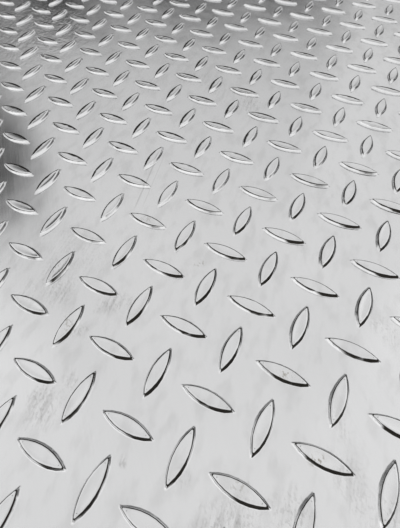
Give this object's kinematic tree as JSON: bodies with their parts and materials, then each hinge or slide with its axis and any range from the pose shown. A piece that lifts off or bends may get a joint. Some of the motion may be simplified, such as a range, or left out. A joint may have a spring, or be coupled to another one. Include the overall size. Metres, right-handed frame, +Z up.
{
  "type": "checker plate",
  "caption": "Flat rolled steel sheet with raised lens-shaped lugs crossing each other in diagonal rows, a non-slip surface for floors, steps and covers.",
  "frame": {"origin": "middle of the flat underside", "axes": "+X across the sheet, +Y along the sheet, the way it was rolled, +Z up, out of the side with the lugs"},
  "size_m": [0.5, 1, 0.005],
  "materials": {
    "bright_steel": "bright mill finish, lightly scuffed and smudged"
  },
  "bodies": {
    "root": {"checker_plate": "bright_steel"}
  },
  "joints": []
}
